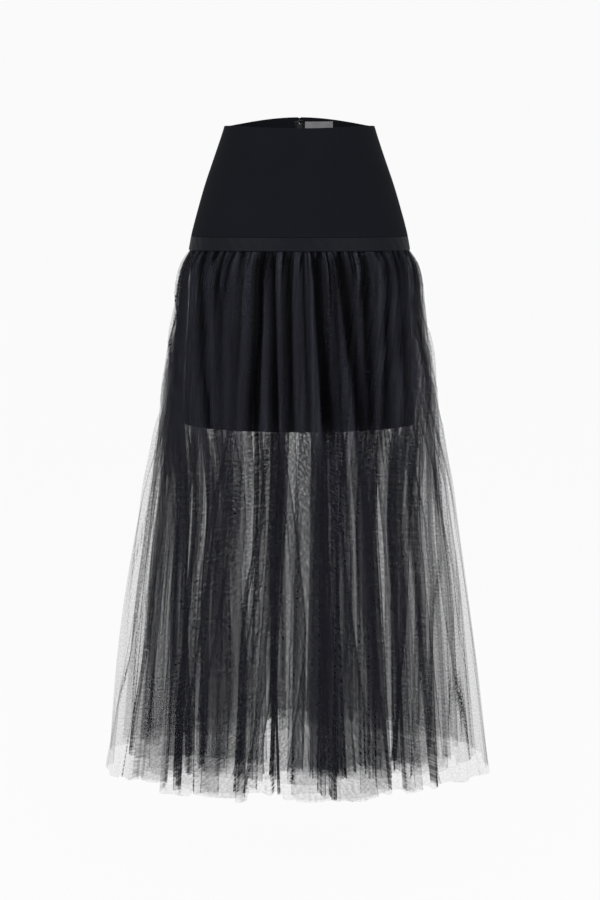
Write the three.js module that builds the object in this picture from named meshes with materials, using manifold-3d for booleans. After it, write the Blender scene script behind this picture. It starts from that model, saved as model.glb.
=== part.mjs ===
// A long black tulle skirt, filled out as if worn: a smooth hip yoke closed by a zip at the back, a
// narrow band under it, and three gathered layers of net over a short lining.
// Millimetres, +Z up. The front faces -Y and +X is the right of the front view. The origin is the
// centre of the waist, level with the top edge at the sides. Angles run round from the front centre.
import * as THREE from 'three';
import Module from 'manifold-3d';
import { mergeVertices } from 'three/addons/utils/BufferGeometryUtils.js';

const wasm = await Module();
wasm.setup();

// Levels of the seams and hems, measured from the waist's sides
const BAND_TOP = -162;
const BAND_BOTTOM = -182;
const LINING_HEM = -441;
const OUTER_HEM = -975;
const MIDDLE_HEM = -941;
const INNER_HEM = -925;

// The waist's edge dips at the front and rises at the back, with a small notch over the zip
const WAIST_FRONT_DIP = 8;
const WAIST_BACK_RISE = 17;
const NOTCH_DEPTH = 2.5;
const NOTCH_HALF_WIDTH = 4.5;

// Walls and the gaps between sewn pieces
const YOKE_WALL = 1.2;
const NET_WALL = 1;
const LINING_WALL = 1;
const SEAM_GAP = 0.3;
const ZIP_GAP = 1.6;

// Outer face of the yoke and band: half its width and half its depth at each level
const HIP_SECTIONS = [
  { level: 24, halfWidth: 104, halfDepth: 90 },
  { level: 0, halfWidth: 111, halfDepth: 95 },
  { level: -47, halfWidth: 126.8, halfDepth: 104.5 },
  { level: -82, halfWidth: 138.9, halfDepth: 112 },
  { level: -117, halfWidth: 149.5, halfDepth: 118.5 },
  { level: BAND_TOP, halfWidth: 161.5, halfDepth: 125.6 },
  { level: BAND_BOTTOM, halfWidth: 165, halfDepth: 128 },
];

// Outer face of the net: its outline, how far each layer lies inside the one over it at the sides
// and at the front, and how deep the folds are
const NET_SECTIONS = [
  { level: BAND_BOTTOM, halfWidth: 165, halfDepth: 128, sidePitch: 1.3, frontPitch: 1.3, fold: 0 },
  { level: -200, halfWidth: 175.5, halfDepth: 136, sidePitch: 3.2, frontPitch: 3.2, fold: 2.6 },
  { level: -224, halfWidth: 184, halfDepth: 143, sidePitch: 4.6, frontPitch: 4.6, fold: 5 },
  { level: -270, halfWidth: 190, halfDepth: 148.5, sidePitch: 5.5, frontPitch: 5.5, fold: 7.5 },
  { level: -350, halfWidth: 206, halfDepth: 157, sidePitch: 7, frontPitch: 7, fold: 10 },
  { level: LINING_HEM, halfWidth: 220, halfDepth: 166, sidePitch: 8, frontPitch: 8, fold: 12 },
  { level: -550, halfWidth: 242, halfDepth: 172, sidePitch: 12, frontPitch: 10, fold: 17 },
  { level: -680, halfWidth: 263.5, halfDepth: 178, sidePitch: 18, frontPitch: 12, fold: 23 },
  { level: -825, halfWidth: 285.5, halfDepth: 184, sidePitch: 25, frontPitch: 14, fold: 29 },
  { level: OUTER_HEM, halfWidth: 305.6, halfDepth: 190, sidePitch: 31, frontPitch: 16, fold: 34 },
];

// The folds at the hem, in order round from the left of the front: the angle each spans, how far
// its crest stands back and how deep the groove before it is, both as shares of the fold depth
const FOLDS_START = -78;
const FOLDS = [
  { span: 23.1, crest: 0.1, groove: 0.9 },
  { span: 13.3, crest: 0.5, groove: 1 },
  { span: 10, crest: 0.3, groove: 0.9 },
  { span: 15.8, crest: 0.45, groove: 1 },
  { span: 18.1, crest: 0, groove: 1 },
  { span: 12.7, crest: 0, groove: 1 },
  { span: 10.2, crest: 0.2, groove: 1 },
  { span: 6.2, crest: 0.5, groove: 0.9 },
  { span: 16.6, crest: 0.4, groove: 1 },
  { span: 17, crest: 0.45, groove: 0.9 },
  { span: 15, crest: 0.3, groove: 0.9 },
  { span: 14, crest: 0, groove: 1 },
  { span: 12, crest: 0.3, groove: 0.9 },
  { span: 9, crest: 0.1, groove: 1 },
  { span: 14, crest: 0.4, groove: 0.85 },
  { span: 11, crest: 0.1, groove: 1 },
  { span: 8, crest: 0.35, groove: 0.9 },
  { span: 13, crest: 0, groove: 1 },
  { span: 15, crest: 0.3, groove: 0.95 },
  { span: 10, crest: 0.05, groove: 1 },
  { span: 12, crest: 0.4, groove: 0.85 },
  { span: 8, crest: 0.15, groove: 1 },
  { span: 14, crest: 0, groove: 0.9 },
  { span: 11, crest: 0.35, groove: 1 },
  { span: 12, crest: 0.1, groove: 0.9 },
  { span: 13, crest: 0.3, groove: 1 },
  { span: 14, crest: 0, groove: 1 },
  { span: 12, crest: 0.25, groove: 0.9 },
];

// Each fold leaves the seam as two small gathers, which have become one fold at this level
const GATHERS_END = -350;

// Points across one fold: its place, the share of the fold depth there as one fold and as gathers
const FINE_FOLD = [
  { across: 0, single: 1, gathers: 1 },
  { across: 0.14, single: 0.42, gathers: 0.3 },
  { across: 0.32, single: 0.1, gathers: 0 },
  { across: 0.5, single: 0, gathers: 0.8 },
  { across: 0.68, single: 0.1, gathers: 0 },
  { across: 0.86, single: 0.42, gathers: 0.3 },
];
const PLAIN_FOLD = [
  { across: 0, single: 1, gathers: 1 },
  { across: 0.25, single: 0.2, gathers: 0 },
  { across: 0.5, single: 0, gathers: 0.8 },
  { across: 0.75, single: 0.2, gathers: 0 },
];

// The three layers of net, from the outside in, and the levels of their rings of points
const NET_LAYERS = [
  {
    name: 'tulle_outer',
    foldPoints: FINE_FOLD,
    levels: [-200, -224, -270, -350, -480, -650, -820, OUTER_HEM],
  },
  {
    name: 'tulle_middle',
    foldPoints: PLAIN_FOLD,
    levels: [-204, -236, -300, LINING_HEM, -660, MIDDLE_HEM],
  },
  {
    name: 'tulle_inner',
    foldPoints: PLAIN_FOLD,
    levels: [-206, -250, LINING_HEM, -690, INNER_HEM],
  },
];

// The lining widens evenly from under the net to its hem
const LINING_TOP_INSET = NET_LAYERS.length * (NET_WALL + SEAM_GAP);
const LINING_SECTIONS = [
  { level: BAND_BOTTOM, halfWidth: 165 - LINING_TOP_INSET, halfDepth: 128 - LINING_TOP_INSET },
  { level: LINING_HEM, halfWidth: 176, halfDepth: 135 },
];

// The zip inside the back: its tapes, slider and pull tab, with a hook and eye over it
const TAPE_WIDTH = 7;
const TAPE_WALL = 0.8;
const TAPE_TOP = 7.6;
const TAPE_BOTTOM = -178;
const SLIDER_LEVEL = 3;
const SLIDER_WIDTH = 8;
const SLIDER_HEIGHT = 9;
const SLIDER_THICKNESS = 2.8;
const SLIDER_PLAY = 0.4;
const NECK_WIDTH = 1;
const NECK_HEIGHT = 4;
const NECK_REACH = 1;
const BRIDGE_WIDTH = 1.6;
const BRIDGE_REACH = 1.9;
const PIVOT_REACH = 2.4;
const PIVOT_HOLE = 1.05;
const TAB_LENGTH = 24;
const TAB_TOP_WIDTH = 5.4;
const TAB_END_WIDTH = 6.4;
const TAB_THICKNESS = 0.9;
const TAB_BAR = 1.1;
const TAB_WINDOW_WIDTH = 2.6;
const TAB_WINDOW_HEIGHT = 2.9;
const HOOK_LEVEL = 10.4;
const HOOK_HEIGHT = 2;
const HOOK_METAL = 0.7;
const HOOK_FOOT = -7;
const EYE_HEIGHT = 4.4;
const EYE_END = -2.9;
const EYE_FOOT = 5.4;
const EYE_BAR = 0.8;
// How far the inner face curves in towards the feet of the flat hook and eye
const CLOTH_CURVE = 0.3;

// The woven label inside the back, beside the zip
const LABEL_START = 8.6;
const LABEL_WIDTH = 43;
const LABEL_TOP = 12.9;
const LABEL_HEIGHT = 22;
const LABEL_WALL = 0.8;

const cloth = (color, roughness) =>
  new THREE.MeshStandardMaterial({ color, roughness, metalness: 0 });
const yokeCloth = cloth(0x191a1e, 0.85);
const bandCloth = cloth(0x212226, 0.6);
const liningCloth = cloth(0x121317, 0.5);
const netCloth = cloth(0x2a2b30, 0.9);
const tapeCloth = cloth(0x16171a, 0.8);
const labelCloth = cloth(0x8b8c8f, 0.8);
const blackMetal = new THREE.MeshStandardMaterial({ color: 0x1b1b1d, roughness: 0.4, metalness: 0.6 });
const brightMetal = new THREE.MeshStandardMaterial({ color: 0xb9babd, roughness: 0.3, metalness: 0.9 });

const skirt = new THREE.Group();
const { lerp, degToRad, clamp } = THREE.MathUtils;

function addPiece(name, geometry, material, parent = skirt) {
  const mesh = new THREE.Mesh(geometry, material);
  mesh.name = name;
  parent.add(mesh);
}

// One row of a table of sections, worked out for a level between its rows
function sectionAt(sections, level) {
  let below = sections.findIndex((row) => row.level <= level);
  if (below < 0) below = sections.length - 1;
  const low = sections[Math.max(below, 1)];
  const high = sections[Math.max(below, 1) - 1];
  const share = (high.level - level) / (high.level - low.level);
  const section = {};
  for (const column of Object.keys(high)) section[column] = lerp(high[column], low[column], share);
  return section;
}

// A point of an oval section, moved in from it along its own normal
function ovalPoint(section, angle, inset) {
  const normal = new THREE.Vector2(
    Math.sin(angle) / section.halfWidth,
    -Math.cos(angle) / section.halfDepth,
  ).normalize();
  return new THREE.Vector3(
    section.halfWidth * Math.sin(angle) - normal.x * inset,
    -section.halfDepth * Math.cos(angle) - normal.y * inset,
    section.level,
  );
}

// A closed wall of cloth through rings of outer and inner points, given from the top down, each
// ring running round from the front towards +X
function wallGeometry(outer, inner, isRing) {
  const rows = outer.length;
  const count = outer[0].length;
  const positions = [];
  for (const rings of [outer, inner]) {
    for (const ring of rings) {
      for (const point of ring) positions.push(point.x, point.y, point.z);
    }
  }
  const index = [];
  const at = (side, row, i) => (side * rows + row) * count + (i % count);
  const quad = (a, b, c, d) => index.push(a, b, c, a, c, d);
  const spans = isRing ? count : count - 1;
  for (let i = 0; i < spans; i++) {
    for (let row = 0; row < rows - 1; row++) {
      quad(at(0, row, i), at(0, row + 1, i), at(0, row + 1, i + 1), at(0, row, i + 1));
      quad(at(1, row, i), at(1, row, i + 1), at(1, row + 1, i + 1), at(1, row + 1, i));
    }
    quad(at(0, 0, i), at(0, 0, i + 1), at(1, 0, i + 1), at(1, 0, i));
    quad(at(0, rows - 1, i), at(1, rows - 1, i), at(1, rows - 1, i + 1), at(0, rows - 1, i + 1));
  }
  if (!isRing) {
    const end = count - 1;
    for (let row = 0; row < rows - 1; row++) {
      quad(at(0, row, 0), at(1, row, 0), at(1, row + 1, 0), at(0, row + 1, 0));
      quad(at(0, row, end), at(0, row + 1, end), at(1, row + 1, end), at(1, row, end));
    }
  }
  const geometry = new THREE.BufferGeometry();
  geometry.setAttribute('position', new THREE.Float32BufferAttribute(positions, 3));
  geometry.setIndex(index);
  geometry.computeVertexNormals();
  return geometry;
}

// A smooth panel of an oval form, between two edges given as functions of the section. The panel's
// top follows topAt, and its outer face lies a distance inside the form.
function panelGeometry({ sections, fromAngle, toAngle, columns, rows, topAt, bottom, inset, wall }) {
  const outer = [];
  const inner = [];
  for (let row = 0; row <= rows; row++) {
    const outerRing = [];
    const innerRing = [];
    for (const column of columns) {
      const guess = lerp(fromAngle(sections[0]), toAngle(sections[0]), column);
      const level = lerp(topAt(guess), bottom, row / rows);
      const section = sectionAt(sections, level);
      const angle = lerp(fromAngle(section), toAngle(section), column);
      outerRing.push(ovalPoint(section, angle, inset));
      innerRing.push(ovalPoint(section, angle, inset + wall));
    }
    outer.push(outerRing);
    inner.push(innerRing);
  }
  return wallGeometry(outer, inner, false);
}

// Angle of the point that lies a distance to one side of the back centre (+1 is +X, -1 is -X)
const besideBack = (side, distance) => (section) =>
  side * (Math.PI - Math.asin(distance / section.halfWidth));

// Angle of a side seam, half a seam gap to the front (-1) or back (+1) of the side
const sideSeam = (side, towardsBack) => (section) =>
  side * (Math.PI / 2 + towardsBack * SEAM_GAP / 2 / section.halfDepth);

function waistEdge(angle) {
  const front = Math.cos(angle);
  if (front > 0) return -WAIST_FRONT_DIP * front ** 2;
  const beside = Math.abs(HIP_SECTIONS[1].halfWidth * Math.sin(angle));
  const notch = NOTCH_DEPTH * clamp(1 - beside / NOTCH_HALF_WIDTH, 0, 1);
  return WAIST_BACK_RISE * front ** 2 - notch;
}

const evenColumns = (count) => Array.from({ length: count + 1 }, (_, i) => i / count);

// Columns of a back half, with one more where the notch starts, near the zip's end of the panel
function backColumns(count, zipAtStart) {
  const notchStart = 1 - NOTCH_HALF_WIDTH / (HIP_SECTIONS[1].halfWidth * Math.PI / 2);
  const columns = [...evenColumns(count).slice(0, -1), notchStart, 1];
  return zipAtStart ? columns.map((column) => 1 - column).reverse() : columns;
}

// The panels of the yoke and of the band: a front and two back halves either side of the zip
const FRONT_COLUMNS = 24;
const BACK_COLUMNS = 11;
const HIP_PANELS = [
  {
    part: 'front',
    fromAngle: sideSeam(-1, -1),
    toAngle: sideSeam(1, -1),
    columns: evenColumns(FRONT_COLUMNS),
  },
  {
    part: 'back_right',
    fromAngle: sideSeam(1, 1),
    toAngle: besideBack(1, ZIP_GAP / 2),
    columns: backColumns(BACK_COLUMNS, false),
  },
  {
    part: 'back_left',
    fromAngle: besideBack(-1, ZIP_GAP / 2),
    toAngle: sideSeam(-1, 1),
    columns: backColumns(BACK_COLUMNS, true),
  },
];

for (const { part, ...panel } of HIP_PANELS) {
  const yoke = panelGeometry({
    ...panel,
    sections: HIP_SECTIONS,
    rows: 4,
    topAt: waistEdge,
    bottom: BAND_TOP + SEAM_GAP / 2,
    inset: 0,
    wall: YOKE_WALL,
  });
  addPiece(`yoke_${part}`, yoke, yokeCloth);
  const band = panelGeometry({
    ...panel,
    sections: HIP_SECTIONS,
    rows: 1,
    topAt: () => BAND_TOP - SEAM_GAP / 2,
    bottom: BAND_BOTTOM + SEAM_GAP / 2,
    inset: 0,
    wall: YOKE_WALL,
  });
  addPiece(`hip_band_${part}`, band, bandCloth);
}

// The lining: a front and a back panel from the gathered seam to its own hem
const LINING_ENDS = {
  front: [sideSeam(-1, -1), sideSeam(1, -1)],
  back: [sideSeam(1, 1), (section) => 2 * Math.PI + sideSeam(-1, 1)(section)],
};
for (const [part, [fromAngle, toAngle]] of Object.entries(LINING_ENDS)) {
  const panel = panelGeometry({
    sections: LINING_SECTIONS,
    fromAngle,
    toAngle,
    columns: evenColumns(FRONT_COLUMNS),
    rows: 2,
    topAt: () => BAND_BOTTOM - SEAM_GAP / 2,
    bottom: LINING_HEM,
    inset: 0,
    wall: LINING_WALL,
  });
  addPiece(`lining_${part}`, panel, liningCloth);
}

// Angle of a fold's first groove: even at the seam, and as the table gives it at the hem
function foldEdge(index, level) {
  const drop = (BAND_BOTTOM - level) / (BAND_BOTTOM - OUTER_HEM);
  const even = FOLDS_START + index * 360 / FOLDS.length;
  const atHem = FOLDS.slice(0, index).reduce((sum, fold) => sum + fold.span, FOLDS_START);
  return degToRad(lerp(even, atHem, drop));
}

// One ring of a layer of net, with its folds
function netRing(layer, foldPoints, level) {
  const section = sectionAt(NET_SECTIONS, level);
  const merged = clamp((BAND_BOTTOM - level) / (BAND_BOTTOM - GATHERS_END), 0, 1);
  const ring = [];
  for (let i = 0; i < FOLDS.length; i++) {
    const from = foldEdge(i, level);
    const to = foldEdge(i + 1, level);
    const next = FOLDS[(i + 1) % FOLDS.length];
    for (const { across, single, gathers } of foldPoints) {
      const angle = lerp(from, to, across);
      const groove = across < 0.5 ? FOLDS[i].groove : next.groove;
      const crest = FOLDS[i].crest * merged;
      const asFold = lerp(crest, groove, single);
      const asGathers = gathers * groove;
      const pitch = lerp(section.frontPitch, section.sidePitch, Math.sin(angle) ** 2);
      const inset = layer * pitch + section.fold * lerp(asGathers, asFold, merged);
      ring.push(ovalPoint(section, angle, inset));
    }
  }
  return ring;
}

// The same ring moved in by the wall's thickness, square to the cloth
function innerRing(ring, wall) {
  return ring.map((point, i) => {
    const before = ring[(i + ring.length - 1) % ring.length];
    const after = ring[(i + 1) % ring.length];
    const along = new THREE.Vector3().subVectors(after, before).normalize();
    const inward = new THREE.Vector3(-along.y, along.x, 0);
    return point.clone().addScaledVector(inward, wall);
  });
}

NET_LAYERS.forEach(({ name, foldPoints, levels }, layer) => {
  const allLevels = [BAND_BOTTOM - SEAM_GAP / 2, ...levels];
  const outer = allLevels.map((level) => netRing(layer, foldPoints, level));
  const inner = outer.map((ring) => innerRing(ring, NET_WALL));
  addPiece(name, wallGeometry(outer, inner, true), netCloth);
});

// The zip's tapes lie inside the two back halves, along the opening
for (const [part, side] of [['right', 1], ['left', -1]]) {
  const edges = [besideBack(side, ZIP_GAP / 2 + TAPE_WIDTH), besideBack(side, ZIP_GAP / 2)];
  const [fromAngle, toAngle] = side > 0 ? edges : [edges[1], edges[0]];
  const tape = panelGeometry({
    sections: HIP_SECTIONS,
    fromAngle,
    toAngle,
    columns: evenColumns(1),
    rows: 8,
    topAt: () => TAPE_TOP,
    bottom: TAPE_BOTTOM,
    inset: YOKE_WALL + SEAM_GAP,
    wall: TAPE_WALL,
  });
  addPiece(`zip_tape_${part}`, tape, tapeCloth);
}

// The label lies on the inner face of the right back half
const label = panelGeometry({
  sections: HIP_SECTIONS,
  fromAngle: besideBack(1, LABEL_START + LABEL_WIDTH),
  toAngle: besideBack(1, LABEL_START),
  columns: evenColumns(5),
  rows: 2,
  topAt: () => LABEL_TOP,
  bottom: LABEL_TOP - LABEL_HEIGHT,
  inset: YOKE_WALL + SEAM_GAP,
  wall: LABEL_WALL,
});
addPiece('label', label, labelCloth);

// A group whose origin lies on the yoke's outer face at the back centre, with its Y axis square to
// the cloth and its Z axis up along it
function atBackCentre(level) {
  const section = sectionAt(HIP_SECTIONS, level);
  const lower = sectionAt(HIP_SECTIONS, level - 10);
  const group = new THREE.Group();
  group.position.set(0, section.halfDepth, level);
  group.rotation.x = Math.atan2(lower.halfDepth - section.halfDepth, 10);
  skirt.add(group);
  return group;
}

function rectangle(fromX, toX, fromY, toY) {
  return new THREE.Shape([
    new THREE.Vector2(fromX, fromY),
    new THREE.Vector2(toX, fromY),
    new THREE.Vector2(toX, toY),
    new THREE.Vector2(fromX, toY),
  ]);
}

// A flat shape drawn with its Y down along the cloth, made a thickness deep about a place on Y
function plateAcrossY(shape, middleY, thickness, curveSegments = 4) {
  const plate = new THREE.ExtrudeGeometry(shape, {
    depth: thickness,
    bevelEnabled: false,
    curveSegments,
  });
  return plate.rotateX(-Math.PI / 2).translate(0, middleY - thickness / 2, 0);
}

function toSolid(geometry) {
  const bare = geometry.index ? geometry.clone() : geometry;
  bare.deleteAttribute('normal');
  bare.deleteAttribute('uv');
  const merged = mergeVertices(bare, 1e-4);
  return new wasm.Manifold(new wasm.Mesh({
    numProp: 3,
    vertProperties: new Float32Array(merged.attributes.position.array),
    triVerts: new Uint32Array(merged.index.array),
  }));
}

function toGeometry(solid) {
  const mesh = solid.getMesh();
  const geometry = new THREE.BufferGeometry();
  geometry.setAttribute('position', new THREE.BufferAttribute(mesh.vertProperties, 3));
  geometry.setIndex(new THREE.BufferAttribute(mesh.triVerts, 1));
  geometry.computeVertexNormals();
  return geometry;
}

// The slider's body rides inside the opening. Its neck comes out between the two edges and ends in
// a bridge with a hole, which holds the tab's bar.
function sliderGeometry() {
  const bodyFace = -(YOKE_WALL + SEAM_GAP + TAPE_WALL + SLIDER_PLAY);
  const body = new THREE.BoxGeometry(SLIDER_WIDTH, SLIDER_THICKNESS, SLIDER_HEIGHT);
  body.translate(0, bodyFace - SLIDER_THICKNESS / 2, 0);
  const neckStart = bodyFace - SLIDER_THICKNESS / 2;
  const neck = new THREE.BoxGeometry(NECK_WIDTH, NECK_REACH - neckStart, NECK_HEIGHT);
  neck.translate(0, (NECK_REACH + neckStart) / 2, 0);
  const outline = new THREE.Shape();
  outline.moveTo(SEAM_GAP, -BRIDGE_REACH);
  outline.lineTo(PIVOT_REACH, -BRIDGE_REACH);
  outline.absarc(PIVOT_REACH, 0, BRIDGE_REACH, -Math.PI / 2, Math.PI / 2, false);
  outline.lineTo(SEAM_GAP, BRIDGE_REACH);
  outline.holes.push(new THREE.Path().absarc(PIVOT_REACH, 0, PIVOT_HOLE, 0, 2 * Math.PI, true));
  const bridge = new THREE.ExtrudeGeometry(outline, {
    depth: BRIDGE_WIDTH,
    bevelEnabled: false,
    curveSegments: 8,
  });
  // The outline's X becomes the part's Y, its Y becomes Z, and its depth runs along X
  bridge.applyMatrix4(new THREE.Matrix4().set(0, 0, 1, 0, 1, 0, 0, 0, 0, 1, 0, 0, 0, 0, 0, 1));
  bridge.translate(-BRIDGE_WIDTH / 2, 0, 0);
  return toGeometry(toSolid(body).add(toSolid(neck)).add(toSolid(bridge)));
}

// The pull tab: a plate with a window near its top, whose upper bar passes through the bridge
function tabShape() {
  const top = TAB_BAR / 2;
  const corner = TAB_TOP_WIDTH / 2;
  const shape = new THREE.Shape();
  const endRadius = TAB_END_WIDTH / 2;
  const endCentre = TAB_LENGTH - endRadius;
  shape.moveTo(-corner, -top);
  shape.lineTo(corner, -top);
  shape.lineTo(endRadius, endCentre);
  shape.absarc(0, endCentre, endRadius, 0, Math.PI, false);
  const side = TAB_WINDOW_WIDTH / 2;
  shape.holes.push(rectangle(-side, side, top, top + TAB_WINDOW_HEIGHT));
  return shape;
}

const zipTop = atBackCentre(SLIDER_LEVEL);
addPiece('zip_slider', sliderGeometry(), blackMetal, zipTop);
addPiece('zip_pull_tab', plateAcrossY(tabShape(), PIVOT_REACH, TAB_THICKNESS), blackMetal, zipTop);

// The eye is sewn to the right back half and reaches over the opening. The hook is sewn to the
// left back half, steps over the eye's end and comes back through it.
const hookGroup = atBackCentre(HOOK_LEVEL);
const metalFace = -(YOKE_WALL + SEAM_GAP + CLOTH_CURVE);
const metalBack = metalFace - HOOK_METAL;

const eyeShape = rectangle(EYE_END, EYE_FOOT, -EYE_HEIGHT / 2, EYE_HEIGHT / 2);
const eyeHole = EYE_HEIGHT / 2 - EYE_BAR;
eyeShape.holes.push(rectangle(EYE_END + EYE_BAR, EYE_FOOT - EYE_BAR, -eyeHole, eyeHole));
const eye = plateAcrossY(eyeShape, metalFace - HOOK_METAL / 2, HOOK_METAL);
addPiece('eye', eye, brightMetal, hookGroup);

const overEye = metalBack - SEAM_GAP;
const tipStart = EYE_END + EYE_BAR + SEAM_GAP;
const stepStart = EYE_END - SEAM_GAP;
const hookShape = new THREE.Shape([
  new THREE.Vector2(HOOK_FOOT, metalFace),
  new THREE.Vector2(stepStart, metalFace),
  new THREE.Vector2(stepStart, overEye),
  new THREE.Vector2(tipStart, overEye),
  new THREE.Vector2(tipStart, metalFace),
  new THREE.Vector2(tipStart + HOOK_METAL, metalFace),
  new THREE.Vector2(tipStart + HOOK_METAL, overEye - HOOK_METAL),
  new THREE.Vector2(stepStart - HOOK_METAL, overEye - HOOK_METAL),
  new THREE.Vector2(stepStart - HOOK_METAL, metalBack),
  new THREE.Vector2(HOOK_FOOT, metalBack),
].reverse());
const hook = new THREE.ExtrudeGeometry(hookShape, { depth: HOOK_HEIGHT, bevelEnabled: false });
hook.translate(0, 0, -HOOK_HEIGHT / 2);
addPiece('hook', hook, brightMetal, hookGroup);

export default skirt;
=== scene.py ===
# A long black tulle skirt, filled out as if worn: a smooth crepe yoke with a zip at the back, a
# ribbed band under it, and three gathered layers of net over a short satin lining.
# Metres, +Z up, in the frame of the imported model. The front faces -Y, and angles run round from
# the front centre towards +X. The skirt's sizes are in millimetres until they reach Blender, and
# those of the floor, lights and camera are in metres.
import math

import bpy
import numpy as np
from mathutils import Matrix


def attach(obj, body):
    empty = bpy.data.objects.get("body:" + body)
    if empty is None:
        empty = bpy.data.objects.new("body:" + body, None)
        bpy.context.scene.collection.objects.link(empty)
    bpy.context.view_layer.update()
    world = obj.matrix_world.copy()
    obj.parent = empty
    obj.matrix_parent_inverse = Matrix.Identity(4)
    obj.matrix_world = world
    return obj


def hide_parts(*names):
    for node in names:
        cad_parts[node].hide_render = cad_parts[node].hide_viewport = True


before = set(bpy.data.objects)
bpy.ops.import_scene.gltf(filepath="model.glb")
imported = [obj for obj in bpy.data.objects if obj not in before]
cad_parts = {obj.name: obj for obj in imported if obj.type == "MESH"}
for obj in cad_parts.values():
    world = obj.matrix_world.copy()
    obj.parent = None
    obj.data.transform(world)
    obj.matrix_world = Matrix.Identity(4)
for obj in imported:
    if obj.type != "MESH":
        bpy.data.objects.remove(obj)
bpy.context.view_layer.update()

MM = 0.001
BODY = "skirt"

# Levels of the seams and hems below the waist's sides, in millimetres
BAND_TOP = -162.0
BAND_BOTTOM = -182.0
LINING_HEM = -441.0
OUTER_HEM = -975.0

# The waist's edge: its dip and rise, the notch at the zip's top, and the half widths of the skirt
# between which the back halves part for the zip
WAIST_FRONT_DIP = 7.0
WAIST_BACK_RISE = 17.0
NOTCH_DEPTH = 1.5
NOTCH_HALF_WIDTH = 3.0
MEETING_HALF_WIDTH = 108.6
PARTED_HALF_WIDTH = 109.0
MEETING_GAP = 0.04

# Walls, the gaps between pieces, how far the side seams' edges press into each other, what the
# lining has sewn into the seam, and the zip's opening
YOKE_WALL = 1.2
LINING_WALL = 1.0
SEAM_GAP = 0.3
SEAM_PRESS = 0.15
SEAM_ALLOWANCE = 7.0
ZIP_GAP = 1.6

# Outer face of the yoke and band: level, half width, half depth
HIP_SECTIONS = np.array([
    (24.0, 104.0, 90.0),
    (0.0, 111.0, 95.0),
    (-47.0, 126.8, 104.5),
    (-82.0, 138.9, 112.0),
    (-117.0, 149.5, 118.5),
    (BAND_TOP, 161.5, 125.6),
    (BAND_BOTTOM, 165.0, 128.0),
])

# Lining: level, half width, half depth
LINING_SECTIONS = np.array([
    (BAND_BOTTOM, 161.1, 124.1),
    (LINING_HEM, 176.0, 135.0),
])

# Net: level, half width, half depth, how far each layer lies inside the one over it at the sides
# and at the front, the depth that folds have at most, and half the width that the crowded folds
# take up, beyond which the net lies nearly smooth
NET_SECTIONS = np.array([
    (BAND_BOTTOM, 165.0, 128.0, 1.0, 1.0, 2.0, 300.0),
    (-200.0, 178.0, 136.0, 2.4, 1.6, 5.0, 280.0),
    (-224.0, 186.0, 143.0, 3.4, 2.0, 8.0, 260.0),
    (-270.0, 191.5, 148.5, 4.2, 2.5, 11.0, 250.0),
    (-350.0, 207.0, 157.0, 5.0, 3.0, 14.0, 240.0),
    (LINING_HEM, 221.0, 166.0, 6.0, 4.0, 18.0, 226.0),
    (-550.0, 242.0, 172.0, 12.0, 6.0, 30.0, 234.0),
    (-680.0, 263.5, 178.0, 15.0, 8.0, 36.0, 242.0),
    (-825.0, 285.5, 184.0, 22.0, 10.0, 46.0, 247.0),
    (OUTER_HEM, 305.6, 190.0, 28.0, 12.0, 50.0, 250.0),
])
# How softly that crowded part ends, and where its middle is
CORE_SOFTNESS = 14.0
CORE_MIDDLE = -14.0
# The cloth crowds into it more and more down to a level, and this much already at the seam
NET_SPREAD_BY = -620.0
SPREAD_AT_SEAM = 0.3
# The back's share of cloth against the front's, and the least cloth against the way it covers
BACK_SHARE = 0.42
LEAST_SLACK = 1.06

# Where the net is bunched or spread: place across the skirt at the lining's hem and at the net's
# hem, half width, share of cloth there against the rest, and side, 1 for the front
BUNCHES = np.array([
    (-212.0, -240.0, 10.0, 2.2, 1),
    (-182.0, -192.0, 12.0, 2.4, 1),
    (-121.0, -135.0, 9.0, 1.5, 1),
    (-96.0, -53.0, 12.0, 0.35, 1),
    (-20.0, -17.0, 9.0, 1.6, 1),
    (-9.0, -6.0, 4.0, 0.45, 1),
    (49.0, 44.0, 11.0, 2.6, 1),
    (77.0, 76.0, 8.0, 0.45, 1),
    (103.0, 106.0, 10.0, 1.8, 1),
    (125.0, 131.0, 9.0, 0.6, 1),
    (154.0, 151.0, 8.0, 1.5, 1),
    (-150.0, -160.0, 10.0, 1.6, -1),
    (-90.0, -62.0, 12.0, 0.4, -1),
    (-40.0, -33.0, 10.0, 1.7, -1),
    (2.0, -4.0, 9.0, 0.6, -1),
    (52.0, 45.0, 11.0, 1.8, -1),
    (80.0, 74.0, 9.0, 0.5, -1),
    (112.0, 118.0, 11.0, 1.6, -1),
    (160.0, 172.0, 12.0, 0.7, -1),
])

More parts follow.
